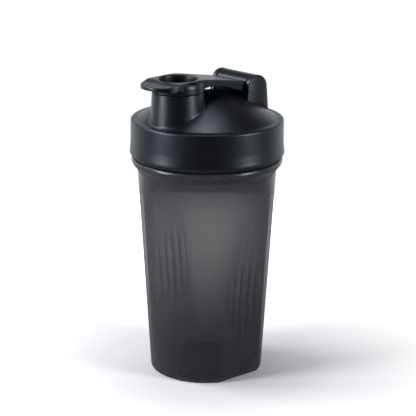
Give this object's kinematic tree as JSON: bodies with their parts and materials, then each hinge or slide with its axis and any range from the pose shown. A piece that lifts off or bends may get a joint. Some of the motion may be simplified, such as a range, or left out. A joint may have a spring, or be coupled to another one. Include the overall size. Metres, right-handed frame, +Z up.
{
  "type": "shaker bottle",
  "caption": "Tapered translucent cup with grip faces, closed by a domed screw lid that carries a side spout and a hinged snap cap.",
  "frame": {"origin": "centre of the flat foot, on the surface that the bottle stands on", "axes": "+Z up along the cup's axis, the spout and thumb tab face -Y, the cap's hinge lies at +Y with its axis along X"},
  "size_m": [0.1, 0.1028, 0.1989],
  "materials": {
    "smoke_cup": "translucent smoke grey polypropylene, satin outside",
    "black_lid": "satin black polypropylene",
    "black_cap": "satin black polypropylene",
    "silicone": "translucent white silicone",
    "black_grid": "satin black polypropylene"
  },
  "bodies": {
    "cup": {"cup": "smoke_cup"},
    "lid_insert": {"seal_ring": "silicone", "mixing_grid": "black_grid"},
    "lid": {"lid": "black_lid"},
    "flip_cap": {"flip_cap": "black_cap"}
  },
  "joints": [
    {"name": "lid_lift", "type": "slide", "parent": "cup", "child": "lid_insert", "axis": [0, 0, 1], "range_m": [0, 0.0076]},
    {"name": "lid_turn", "type": "hinge", "parent": "lid_insert", "child": "lid", "pos_m": [0, 0, 0.155], "axis": [0, 0, 1], "range_deg": [0, 540]},
    {"name": "cap_flip", "type": "hinge", "parent": "lid", "child": "flip_cap", "pos_m": [0, 0.029, 0.1866], "axis": [-1, 0, 0], "range_deg": [0, 170]}
  ],
  "couplings": [
    {"joint": "lid_lift", "follows": "lid_turn", "m_per_rad": 0.00079577}
  ]
}
